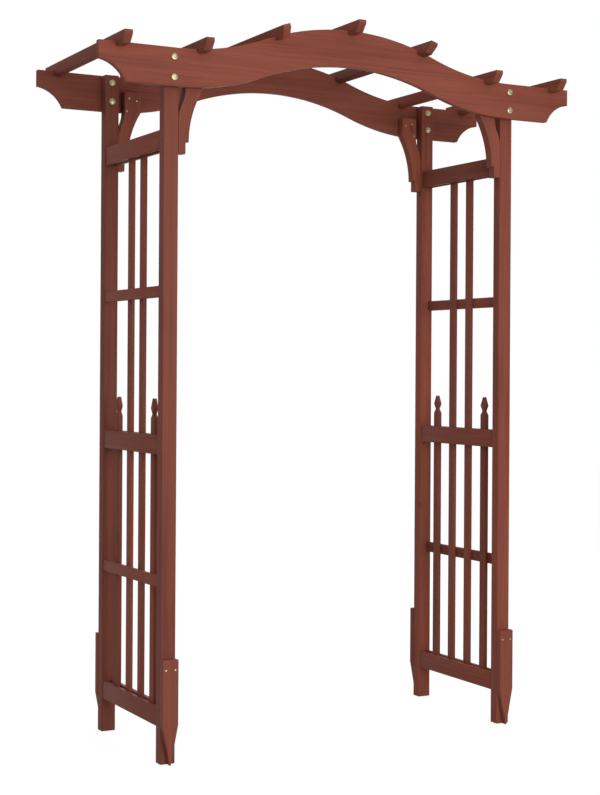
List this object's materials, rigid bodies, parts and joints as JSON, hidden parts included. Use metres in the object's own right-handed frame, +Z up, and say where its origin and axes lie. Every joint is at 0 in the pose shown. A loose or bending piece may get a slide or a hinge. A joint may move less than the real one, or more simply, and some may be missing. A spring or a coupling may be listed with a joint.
{
  "type": "garden arbour",
  "caption": "Timber garden arbour with arched top beams, notched rafters, knee brackets and slatted trellis sides on square posts.",
  "frame": {"origin": "on the ground at the middle of the four posts", "axes": "+X to the right across the walk-through, +Y to the rear through it, +Z up"},
  "size_m": [1.61, 0.66, 2.1575],
  "materials": {
    "stained_wood": "satin",
    "zinc_steel": "satin"
  },
  "bodies": {
    "root": {"post_front_left": "stained_wood", "post_front_right": "stained_wood", "post_rear_left": "stained_wood", "post_rear_right": "stained_wood", "arched_beam_front": "stained_wood", "arched_beam_rear": "stained_wood", "rafter_1": "stained_wood", "rafter_2": "stained_wood", "rafter_3": "stained_wood", "rafter_4": "stained_wood", "rafter_5": "stained_wood", "rafter_6": "stained_wood", "rafter_7": "stained_wood", "knee_bracket_front_left": "stained_wood", "knee_bracket_front_right": "stained_wood", "knee_bracket_rear_left": "stained_wood", "knee_bracket_rear_right": "stained_wood", "ground_stake_front_left": "stained_wood", "ground_stake_front_right": "stained_wood", "ground_stake_rear_left": "stained_wood", "ground_stake_rear_right": "stained_wood", "bottom_rail_outer_left": "stained_wood", "bottom_rail_inner_left": "stained_wood", "bottom_rail_outer_right": "stained_wood", "bottom_rail_inner_right": "stained_wood", "middle_rail_outer_left": "stained_wood", "middle_rail_inner_left": "stained_wood", "middle_rail_outer_right": "stained_wood", "middle_rail_inner_right": "stained_wood", "top_rail_outer_left": "stained_wood", "top_rail_inner_left": "stained_wood", "top_rail_outer_right": "stained_wood", "top_rail_inner_right": "stained_wood", "lower_slim_rail_left": "stained_wood", "lower_slim_rail_right": "stained_wood", "upper_slim_rail_left": "stained_wood", "upper_slim_rail_right": "stained_wood", "long_slat_front_left": "stained_wood", "long_slat_rear_left": "stained_wood", "long_slat_front_right": "stained_wood", "long_slat_rear_right": "stained_wood", "picket_front_left": "stained_wood", "picket_rear_left": "stained_wood", "picket_front_right": "stained_wood", "picket_rear_right": "stained_wood"}
  },
  "joints": []
}
